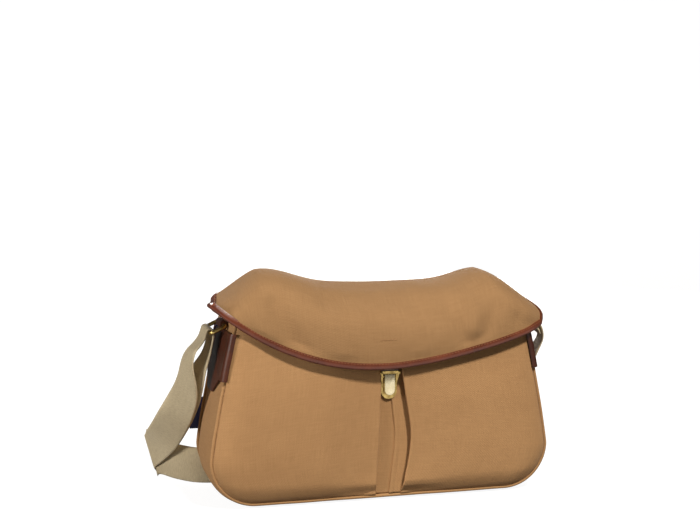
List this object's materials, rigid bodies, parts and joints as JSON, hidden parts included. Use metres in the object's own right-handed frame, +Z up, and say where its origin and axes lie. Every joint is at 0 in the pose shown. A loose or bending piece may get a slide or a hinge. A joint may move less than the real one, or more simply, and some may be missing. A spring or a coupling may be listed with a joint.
{
  "type": "messenger bag",
  "caption": "Canvas messenger bag with a leather-bound flap, twin front pockets, a brass tuck lock and a webbing shoulder strap on brass loops.",
  "frame": {"origin": "centre of the flat base of the gusset, on the surface the bag stands on", "axes": "+Z up, +X to the right of a person facing the front, the front faces -Y"},
  "size_m": [0.4262, 0.1852, 0.2351],
  "materials": {
    "drill": "tan cotton drill, close twill weave",
    "lining": "olive cotton lining",
    "bridle_leather": "waxed reddish brown bridle leather",
    "antique_brass": "dull old brass",
    "polished_brass": "polished pale brass",
    "webbing": "khaki cotton webbing",
    "card": "plain navy card",
    "string": "navy cotton string"
  },
  "bodies": {
    "body": {"back_panel": "drill", "front_panel": "drill", "gusset": "drill", "front_piping": "drill", "back_piping": "drill", "lining": "lining", "pocket_left": "drill", "pocket_right": "drill", "centre_pleat": "drill", "side_patch_left": "bridle_leather", "side_patch_right": "bridle_leather", "chape_left": "bridle_leather", "chape_right": "bridle_leather", "strap": "webbing", "lock_base": "antique_brass", "lock_backplate": "antique_brass", "lock_rivets": "antique_brass", "lock_pin": "antique_brass", "lock_spring": "antique_brass"},
    "flap": {"flap": "drill", "flap_lining": "lining", "flap_binding": "bridle_leather", "lock_tab": "bridle_leather"},
    "hasp": {"lock_hasp": "antique_brass", "hasp_leather": "bridle_leather", "hasp_rivets": "antique_brass"},
    "lever": {"lock_lever": "polished_brass"},
    "left_loop": {"loop_left": "antique_brass"},
    "right_loop": {"loop_right": "antique_brass"},
    "slide": {"strap_slide": "antique_brass"},
    "tag": {"tag_string": "string", "swing_tag": "card"}
  },
  "joints": [
    {"name": "flap_open", "type": "hinge", "parent": "body", "child": "flap", "pos_m": [0, 0.0493, 0.193], "axis": [-1, 0, 0], "range_deg": [0, 165]},
    {"name": "hasp_lift", "type": "hinge", "parent": "flap", "child": "hasp", "pos_m": [0.005, -0.0535, 0.1372], "axis": [-1, 0, 0], "range_deg": [0, 60]},
    {"name": "lever_press", "type": "hinge", "parent": "body", "child": "lever", "pos_m": [0.005, -0.0532, 0.123], "axis": [1, 0, 0], "range_deg": [0, 3.5], "stiffness_Nm_per_rad": 0.05, "springref_deg": -5.73},
    {"name": "left_loop_swing", "type": "hinge", "parent": "body", "child": "left_loop", "pos_m": [-0.15637, 0, 0.183], "axis": [0, 1, 0], "range_deg": [0, 45], "deforming": ["strap"]},
    {"name": "right_loop_swing", "type": "hinge", "parent": "body", "child": "right_loop", "pos_m": [0.15637, 0, 0.183], "axis": [0, -1, 0], "range_deg": [0, 25], "deforming": ["strap"]},
    {"name": "slide_adjust", "type": "slide", "parent": "body", "child": "slide", "axis": [1, 0, 0], "range_m": [-0.025, 0.025], "deforming": ["strap"]},
    {"name": "tag_swing", "type": "hinge", "parent": "body", "child": "tag", "pos_m": [-0.1578, 0.0144, 0.18], "axis": [1, 0, 0], "range_deg": [0, 10]}
  ]
}
